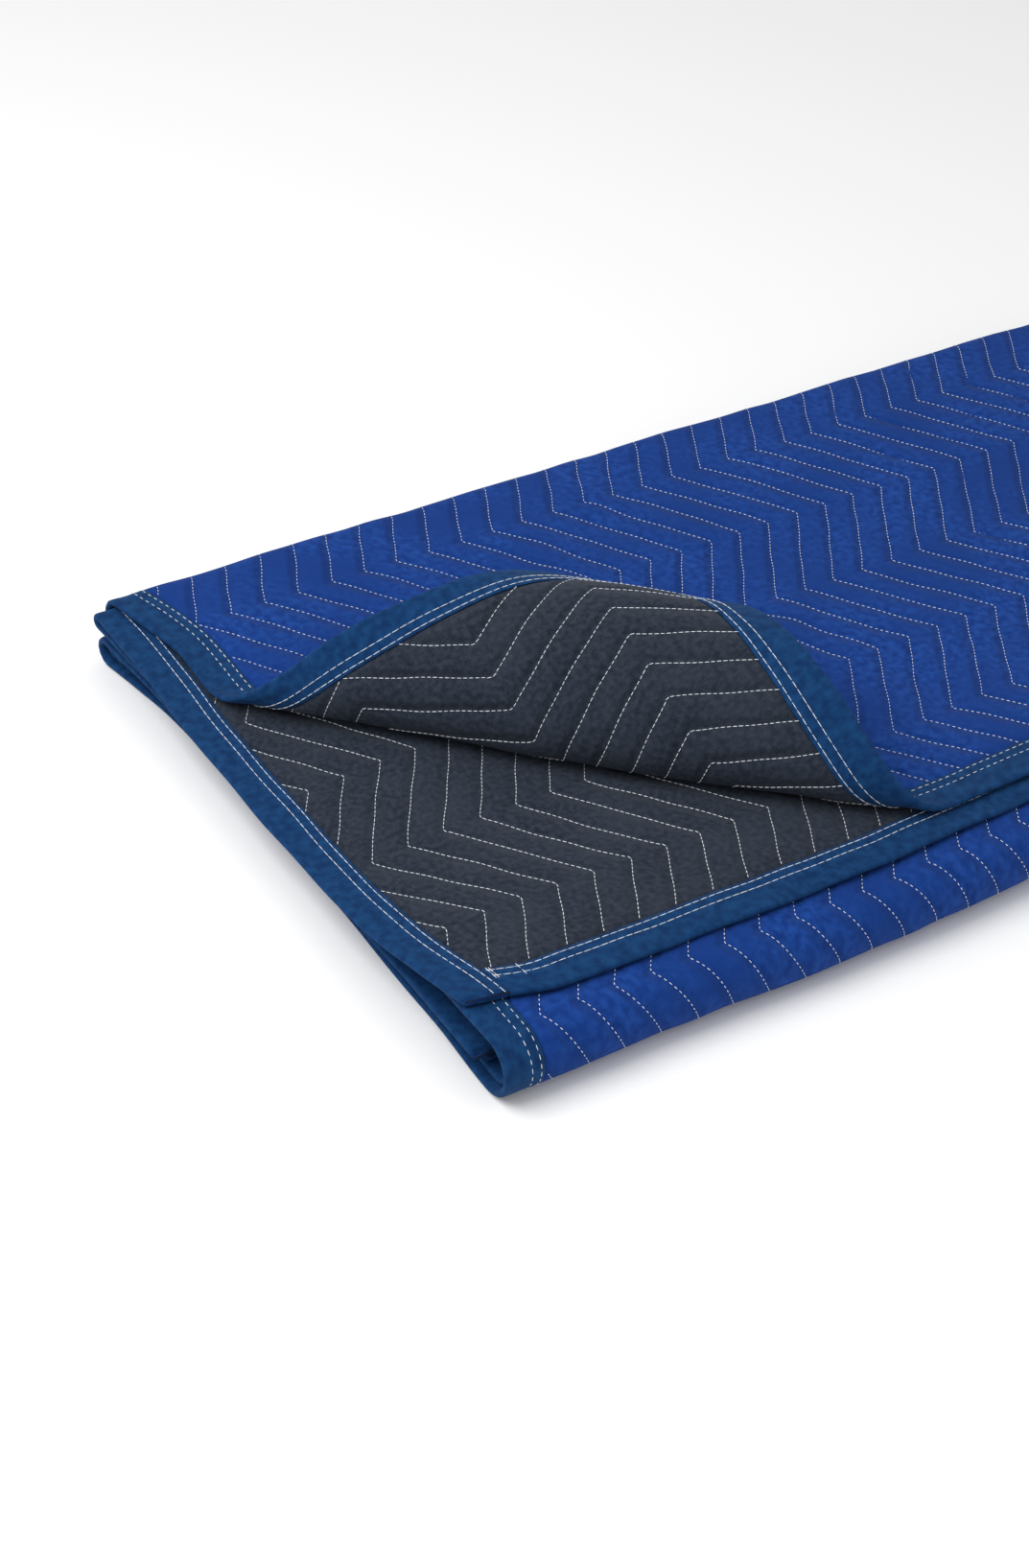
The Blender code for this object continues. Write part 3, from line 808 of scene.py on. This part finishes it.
def backing_material():
    """Charcoal knit: fine ribs across the cloth, pressed in along the quilting lines."""
    nodes = Nodes("charcoal_backing")
    vector, u, v = cloth_vector(nodes)
    groove = quilt_groove(nodes, u, v)
    puff = nodes.ramp(groove, 0.0, 0.32)
    ribs = nodes.maths("PINGPONG", nodes.maths("DIVIDE", u, 0.0016), 0.5)
    courses = nodes.maths("PINGPONG", nodes.maths("DIVIDE", v, 0.0013), 0.5)
    knit = nodes.maths("ADD", ribs, courses)
    mottle = nodes.noise(vector, 260.0, 5.0)
    broad = nodes.noise(vector, 22.0, 3.0)
    base = nodes.mix(nodes.ramp(mottle, 0.28, 0.74), CHARCOAL_DARK, CHARCOAL_LIGHT)
    worn = nodes.maths("MULTIPLY", nodes.ramp(broad, 0.40, 0.75), 0.35)
    lit = nodes.mix(worn, base, CHARCOAL_WORN)
    dark = nodes.mix(nodes.maths("MULTIPLY", knit, 0.55), lit, CHARCOAL_GAP)
    normal = nodes.bump(puff, 0.0024)
    normal = nodes.bump(nodes.noise(vector, 120.0, 4.0), 0.0009, 0.7, normal)
    normal = nodes.bump(knit, 0.0005, 0.6, normal)
    set_shader(nodes, dark, normal, 0.90, 0.08, (0.60, 0.66, 0.80, 1.0))
    return nodes.material


def binding_material():
    """Teal-blue twill: slanting wales, gathered slightly along the strip."""
    nodes = Nodes("teal_binding")
    vector, u, v = cloth_vector(nodes)
    wale = nodes.maths("DIVIDE", nodes.maths("ADD", u, v), 0.0012)
    twill = nodes.maths("PINGPONG", wale, 0.5)
    mottle = nodes.noise(vector, 150.0, 5.0)
    base = nodes.mix(nodes.ramp(mottle, 0.28, 0.72), TEAL_DARK, TEAL_LIGHT)
    woven = nodes.mix(nodes.maths("MULTIPLY", twill, 0.5), base, TEAL_GAP)
    normal = nodes.bump(nodes.noise(vector, 110.0, 4.0), 0.0011, 0.8)
    normal = nodes.bump(twill, 0.0005, 0.5, normal)
    set_shader(nodes, woven, normal, 0.82, 0.06, (0.35, 0.55, 0.80, 1.0))
    return nodes.material


def thread_material():
    """White thread, a little fuzzy."""
    nodes = Nodes("white_thread")
    coordinates = nodes.add("ShaderNodeTexCoord")
    fuzz = nodes.noise(coordinates.outputs["Object"], 900.0, 2.0)
    colour = nodes.mix(fuzz, THREAD_DULL, THREAD_WHITE)
    set_shader(nodes, colour, nodes.bump(fuzz, 0.0002), 0.7, 0.1, (1.0, 1.0, 1.0, 1.0))
    return nodes.material


def floor_material(brightness):
    """A plain, pale, matt floor."""
    nodes = Nodes("pale_floor")
    nodes.shader.inputs["Base Color"].default_value = (brightness, brightness, brightness, 1.0)
    nodes.shader.inputs["Roughness"].default_value = 0.9
    nodes.shader.inputs["Specular IOR Level"].default_value = 0.1
    return nodes.material


# Stitches -----------------------------------------------------------------------------------

def seam_curves(name, lines):
    """A curve object of open poly lines."""
    data = bpy.data.curves.new(name, "CURVE")
    data.dimensions = "3D"
    for points in lines:
        spline = data.splines.new("POLY")
        spline.points.add(len(points) - 1)
        flat = np.concatenate([points, np.ones((len(points), 1))], axis=1)
        spline.points.foreach_set("co", flat.astype(np.float32).ravel())
    item = bpy.data.objects.new(name, data)
    bpy.context.scene.collection.objects.link(item)
    return item


def stitch_tree(name):
    """Geometry nodes: a stitch at each step along every seam, slightly uneven."""
    tree = bpy.data.node_groups.new(name, "GeometryNodeTree")
    tree.is_modifier = True
    sockets = tree.interface
    sockets.new_socket("Geometry", in_out="INPUT", socket_type="NodeSocketGeometry")
    for label in ("Pitch", "Length", "Radius"):
        sockets.new_socket(label, in_out="INPUT", socket_type="NodeSocketFloat")
    sockets.new_socket("Thread", in_out="INPUT", socket_type="NodeSocketMaterial")
    sockets.new_socket("Geometry", in_out="OUTPUT", socket_type="NodeSocketGeometry")
    nodes = tree.nodes
    link = tree.links.new
    source = nodes.new("NodeGroupInput")
    target = nodes.new("NodeGroupOutput")
    to_points = nodes.new("GeometryNodeCurveToPoints")
    to_points.mode = "LENGTH"
    bead = nodes.new("GeometryNodeMeshUVSphere")
    bead.inputs["Segments"].default_value = STITCH_SIDES
    bead.inputs["Rings"].default_value = STITCH_RINGS
    bead.inputs["Radius"].default_value = 1.0
    size = nodes.new("ShaderNodeCombineXYZ")
    half = nodes.new("ShaderNodeMath")
    half.operation = "MULTIPLY"
    half.inputs[1].default_value = 0.5
    jitter = nodes.new("FunctionNodeRandomValue")
    jitter.data_type = "FLOAT_VECTOR"
    jitter.inputs[0].default_value = STITCH_SMALLEST
    jitter.inputs[1].default_value = STITCH_LARGEST
    jitter.inputs["Seed"].default_value = STITCH_SEED
    place_beads = nodes.new("GeometryNodeInstanceOnPoints")
    scaled = nodes.new("ShaderNodeVectorMath")
    scaled.operation = "MULTIPLY"
    realize = nodes.new("GeometryNodeRealizeInstances")
    paint = nodes.new("GeometryNodeSetMaterial")
    smooth = nodes.new("GeometryNodeSetShadeSmooth")
    link(source.outputs["Geometry"], to_points.inputs["Curve"])
    link(source.outputs["Pitch"], to_points.inputs["Length"])
    link(source.outputs["Length"], half.inputs[0])
    link(source.outputs["Radius"], size.inputs[0])
    link(source.outputs["Radius"], size.inputs[1])
    link(half.outputs[0], size.inputs[2])
    link(size.outputs[0], scaled.inputs[0])
    link(jitter.outputs[0], scaled.inputs[1])
    link(to_points.outputs["Points"], place_beads.inputs["Points"])
    link(to_points.outputs["Rotation"], place_beads.inputs["Rotation"])
    link(bead.outputs["Mesh"], place_beads.inputs["Instance"])
    link(scaled.outputs[0], place_beads.inputs["Scale"])
    link(place_beads.outputs[0], realize.inputs[0])
    link(realize.outputs[0], smooth.inputs[0])
    link(smooth.outputs[0], paint.inputs[0])
    link(source.outputs["Thread"], paint.inputs["Material"])
    link(paint.outputs[0], target.inputs[0])
    return tree


def sew(name, lines, pitch, length, radius, thread):
    """Turn seams into one plain mesh of stitches."""
    guide = seam_curves(name + "_guide", lines)
    tree = stitch_tree(name + "_nodes")
    modifier = guide.modifiers.new("Stitches", "NODES")
    modifier.node_group = tree
    values = {"Pitch": pitch, "Length": length, "Radius": radius, "Thread": thread}
    for socket in tree.interface.items_tree:
        if socket.in_out == "INPUT" and socket.name in values:
            modifier[socket.identifier] = values[socket.name]
    bpy.context.view_layer.update()
    evaluated = guide.evaluated_get(bpy.context.evaluated_depsgraph_get())
    mesh = bpy.data.meshes.new_from_object(evaluated)
    mesh.name = name
    if not mesh.polygons:
        raise RuntimeError(name + ": no stitches were made")
    mesh.materials.clear()
    mesh.materials.append(thread)
    bpy.data.objects.remove(guide, do_unlink=True)
    piece = bpy.data.objects.new(name, mesh)
    bpy.context.scene.collection.objects.link(piece)
    return piece


def quilt_lines(upper, out, y_start, y_end, x_end, inset):
    """Chevron lines of one ply, from y_start back to y_end across, as far along as x_end."""
    origin = UPPER_QUILT_ORIGIN if upper else LOWER_QUILT_ORIGIN
    offset = UPPER_END_AT if upper else LOWER_END_AT
    length = UPPER_LENGTH if upper else LOWER_LENGTH
    ys = np.arange(y_start, y_end, SEAM_STEP)
    wave = (origin[1] - ys) / QUILT_HALF_WAVE
    wave = 1.0 - np.abs(np.mod(wave, 2.0) - 1.0)
    lines = []
    for index in range(-4, int(x_end / QUILT_PITCH) + 2):
        wobble = 0.0005 * np.sin(ys * 70.0 + index * 1.7) + 0.0003 * np.sin(ys * 190.0 + index)
        along = origin[0] + index * QUILT_PITCH + QUILT_SWING * wave + offset + wobble
        across = ys - SECTION_START
        first = across_start(along if upper else CLOTH_END - along)
        keep = (along > inset) & (along < min(x_end + offset, length)) & (across > first + inset)
        keep &= across < SECTION_END - inset
        for piece in np.split(np.arange(len(ys)), np.where(np.diff(keep.astype(int)) != 0)[0] + 1):
            if len(piece) > 3 and keep[piece].all():
                place_at = along[piece] if upper else CLOTH_END - along[piece]
                lines.append(wrinkled(place_at, across[piece], out))
    return lines


def binding_lines():
    """Both rows of stitches on both sides of every binding."""
    above = BINDING_OUT + BINDING_CLEARANCE
    below = BINDING_IN - BINDING_CLEARANCE
    face, back = [], []
    across = np.arange(END_SEAM_FROM, SECTION_END - END_SEAM_FROM, SEAM_STEP)
    side = np.arange(SIDE_SEAM_FROM, CLOTH_END - SIDE_SEAM_FROM, SEAM_STEP)
    for row in BINDING_ROWS:
        wobble = 0.0003 * np.sin(across * 37.0) + 0.0002 * np.sin(across * 91.0)
        for along in (row + wobble, CLOTH_END - row - wobble):
            rows = across_at(along, across)
            face.append(wrinkled(along, rows, above))
            back.append(wrinkled(along, rows, below))
        face.append(wrinkled(side, across_start(side) + row, above))
        back.append(wrinkled(side, across_start(side) + row, below))
        face.append(wrinkled(side, SECTION_END - row + 0.0 * side, above))
        back.append(wrinkled(side, SECTION_END - row + 0.0 * side, below))
    between = np.linspace(BINDING_ROWS[0], BINDING_ROWS[1], 5)
    for turn in BINDING_TURNS:
        lean = turn + TURN_SLANT * (between - BINDING_ROWS[0])
        for along in (lean, CLOTH_END - lean):
            for rows in (across_start(along) + between, SECTION_END - between):
                face.append(wrinkled(along, rows, above))
                back.append(wrinkled(along, rows, below))
    return face, back


# Add-on -------------------------------------------------------------------------------------

class BlanketCloth(bpy.types.PropertyGroup):
    """The blanket's flat size"""
    width: bpy.props.FloatProperty(
        name="Width", description="Flat width of the blanket", default=1.829, unit="LENGTH")
    length: bpy.props.FloatProperty(
        name="Length", description="Flat length of the blanket", default=2.032, unit="LENGTH")


class BlanketThread(bpy.types.PropertyGroup):
    """The thread and how much of each stitch shows"""
    radius: bpy.props.FloatProperty(
        name="Thread radius", description="Half the thickness of the thread",
        default=THREAD_RADIUS, unit="LENGTH")
    open_share: bpy.props.FloatProperty(
        name="Dash share", description="Share of a stitch that shows on the blue face",
        default=0.64, subtype="FACTOR")
    full_share: bpy.props.FloatProperty(
        name="Full share", description="Share of a stitch that shows on the backing",
        default=0.88, subtype="FACTOR")


class BlanketStage(bpy.types.PropertyGroup):
    """The floor and the light"""
    floor: bpy.props.FloatProperty(
        name="Floor brightness", description="How pale the floor is", default=0.93, subtype="FACTOR")
    key: bpy.props.FloatProperty(
        name="Key light", description="Power of the main light in watts", default=38.0)
    world: bpy.props.FloatProperty(
        name="Surround", description="Strength of the even light all round", default=0.62)


def finish_piece(piece, slot, *nodes):
    """Attach a piece to the root body and hide the model's nodes that it stands for; slot is not used."""
    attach(piece, "root")
    if nodes:
        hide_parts(*nodes)


class BLANKET_OT_panels(bpy.types.Operator):
    """Build the blue face and the charcoal backing"""
    bl_idname = "blanket.panels"
    bl_label = "Build panels"

    def execute(self, context):
        trim = BINDING_THICK + BINDING_GAP
        face = panel("blue_face", FACE_IN, FACE_OUT, 0.0, trim, face_material())
        finish_piece(face, "face", "face_panel")
        backing = panel("charcoal_backing", BACKING_IN, BACKING_OUT, trim, 0.0, backing_material())
        finish_piece(backing, "backing", "backing_panel")
        return {"FINISHED"}


class BLANKET_OT_bindings(bpy.types.Operator):
    """Build the four binding strips"""
    bl_idname = "blanket.bindings"
    bl_label = "Build bindings"

    def execute(self, context):
        material = binding_material()
        rows = steps([
            (0.0, TOP_FOLD, BINDING_STEP),
            (TOP_FOLD, PANEL_2, FOLD_STEP),
            (PANEL_2, FRONT_FOLD, HIDDEN_BINDING_STEP),
            (FRONT_FOLD, PANEL_3, FOLD_STEP),
            (PANEL_3, LOW_FOLD, HIDDEN_BINDING_STEP),
            (LOW_FOLD, PANEL_4, FOLD_STEP),
            (PANEL_4, SECTION_END, HIDDEN_BINDING_STEP),
        ])

        def uv_end(station, inward, out):
            return np.stack([inward + UV_LEAN * out, station], axis=-1)

        def uv_side(station, inward, out):
            return np.stack([station, inward + UV_LEAN * out], axis=-1)

        for name, node, upper in (("upper_end_binding", "end_binding_upper", True),
                                  ("lower_end_binding", "end_binding_lower", False)):
            def point_at(station, inward, out, upper=upper):
                along = inward if upper else CLOTH_END - inward
                return wrinkled(along, across_at(np.clip(along, 0.0, CLOTH_END), station), out)

            finish_piece(strip(name, rows, point_at, uv_end, material), "binding", node)
        past_fold = UPPER_LENGTH + FOLD_LENGTH
        side = steps([
            (SIDE_BINDING_FROM, FINE_REACH, BINDING_STEP),
            (FINE_REACH, UPPER_LENGTH, FAR_BINDING_STEP),
            (UPPER_LENGTH, past_fold, FOLD_LENGTH / CROSSWISE_STEPS),
            (past_fold, CLOTH_END - FINE_REACH, FAR_BINDING_STEP),
            (CLOTH_END - FINE_REACH, CLOTH_END - SIDE_BINDING_FROM, BINDING_STEP),
        ])

        def outer_at(station, inward, out):
            return wrinkled(station, across_start(station) + inward, out)

        def inner_at(station, inward, out):
            return wrinkled(station, SECTION_END - inward, out)

        outer = strip("outer_side_binding", side, outer_at, uv_side, material)
        finish_piece(outer, "binding", "side_binding_outer")
        inner = strip("inner_side_binding", side, inner_at, uv_side, material)
        finish_piece(inner, "binding", "side_binding_inner")
        return {"FINISHED"}


class BLANKET_OT_stitches(bpy.types.Operator):
    """Sew the quilting and the two rows along the bindings"""
    bl_idname = "blanket.stitches"
    bl_label = "Sew stitches"

    def execute(self, context):
        thread = context.scene.blanket_thread
        material = thread_material()
        above = FACE_OUT + QUILT_CLEARANCE
        below = BACKING_IN - QUILT_CLEARANCE
        start = SECTION_START
        top_end = start + TOP_FOLD + PAST_TOP_FOLD
        seen_end = start + TOP_FOLD - HALF_PANEL
        front_start = start + FRONT_FOLD - BEFORE_FRONT_FOLD
        front_end = start + PANEL_3 + PAST_FRONT_FOLD
        short = STITCH_PITCH * thread.open_share
        full = STITCH_PITCH * thread.full_share
        quilting = (
            # name, on the upper ply, side, from, to, reach along, stitch length
            ("stitches_top", True, above, start, top_end, UPPER_LENGTH, short),
            ("stitches_flap", True, below, start, seen_end, FLAP_REACH, full),
            ("stitches_corner", False, below, start, seen_end, GREY_REACH, full),
            ("stitches_front", False, above, front_start, front_end, LOWER_LENGTH, short),
        )
        for name, upper, out, y_start, y_end, reach, length in quilting:
            lines = quilt_lines(upper, out, y_start, y_end, reach, SEAM_INSET)
            finish_piece(sew(name, lines, STITCH_PITCH, length, thread.radius, material), None)
        face, back = binding_lines()
        pitch = BINDING_STITCH_PITCH
        rows = (("stitches_binding_face", face, BINDING_DASH_FACE),
                ("stitches_binding_back", back, BINDING_DASH_BACK))
        for name, lines, share in rows:
            finish_piece(sew(name, lines, pitch, pitch * share, thread.radius, material), None)
        return {"FINISHED"}


class BLANKET_OT_declare(bpy.types.Operator):
    bl_idname = "blanket.declare"
    bl_label = "Declare sheets"

    def execute(self, context):
        return {"FINISHED"}


class BLANKET_OT_stage(bpy.types.Operator):
    """Add the floor, the lights and the camera"""
    bl_idname = "blanket.stage"
    bl_label = "Set the stage"

    def execute(self, context):
        stage = context.scene.blanket_stage
        bpy.ops.mesh.primitive_plane_add(size=FLOOR_SIZE, location=(0.0, 0.0, -FLOOR_DROP))
        floor = context.object
        floor.name = "floor"
        floor.data.materials.append(floor_material(stage.floor))
        add_light("key", stage.key, KEY_SIZE, KEY_PLACE)
        add_light("fill", stage.key * FILL_SHARE, FILL_SIZE, FILL_PLACE)
        world = bpy.data.worlds.new("surround")
        world.use_nodes = True
        world.node_tree.nodes["Background"].inputs["Color"].default_value = (1.0, 1.0, 1.0, 1.0)
        world.node_tree.nodes["Background"].inputs["Strength"].default_value = stage.world
        context.scene.world = world
        context.scene.view_settings.view_transform = "Standard"
        add_camera(context)
        return {"FINISHED"}


def add_light(name, power, size, position):
    """A soft square light that faces the blanket."""
    data = bpy.data.lights.new(name, "AREA")
    data.energy = power
    data.size = size
    light = bpy.data.objects.new(name, data)
    facing = Vector(position).to_track_quat("Z", "Y").to_matrix().to_4x4()
    light.matrix_world = Matrix.Translation(position) @ facing
    bpy.context.scene.collection.objects.link(light)


def add_camera(context):
    """The camera, looking down at the near corner."""
    data = bpy.data.cameras.new("camera")
    data.lens = CAMERA_LENS
    data.sensor_width = 36.0
    data.clip_start = 0.01
    camera = bpy.data.objects.new("camera", data)
    context.scene.collection.objects.link(camera)
    turn = Matrix.Rotation(CAMERA_ROLL, 4, "Z") @ Matrix.Rotation(CAMERA_PITCH, 4, "X")
    turn = turn @ Matrix.Rotation(CAMERA_YAW, 4, "Z")
    camera.matrix_world = Matrix.Translation(CAMERA_POSITION) @ turn.inverted()
    context.scene.camera = camera


class BLANKET_PT_panel(bpy.types.Panel):
    """Sidebar panel of the blanket"""
    bl_label = "Folded moving blanket"
    bl_space_type = "VIEW_3D"
    bl_region_type = "UI"
    bl_category = "Blanket"

    def draw(self, context):
        scene = context.scene
        for group in (scene.blanket_cloth, scene.blanket_thread, scene.blanket_stage):
            for name in group.__annotations__:
                self.layout.prop(group, name)
        for operator in OPERATORS:
            self.layout.operator(operator.bl_idname)


GROUPS = (BlanketCloth, BlanketThread, BlanketStage)
OPERATORS = (
    BLANKET_OT_panels,
    BLANKET_OT_bindings,
    BLANKET_OT_stitches,
    BLANKET_OT_stage,
    BLANKET_OT_declare,
)


def register():
    """Add the classes and the scene's settings."""
    for item in GROUPS + OPERATORS + (BLANKET_PT_panel,):
        bpy.utils.register_class(item)
    bpy.types.Scene.blanket_cloth = bpy.props.PointerProperty(type=BlanketCloth)
    bpy.types.Scene.blanket_thread = bpy.props.PointerProperty(type=BlanketThread)
    bpy.types.Scene.blanket_stage = bpy.props.PointerProperty(type=BlanketStage)


def unregister():
    """Take the classes and the scene's settings away."""
    for name in ("blanket_cloth", "blanket_thread", "blanket_stage"):
        delattr(bpy.types.Scene, name)
    for item in reversed(GROUPS + OPERATORS + (BLANKET_PT_panel,)):
        bpy.utils.unregister_class(item)


def main():
    """Build everything in order."""
    register()
    bpy.ops.blanket.panels()
    bpy.ops.blanket.bindings()
    bpy.ops.blanket.stitches()
    bpy.ops.blanket.stage()
    bpy.ops.blanket.declare()


if __name__ == "__main__":
    main()
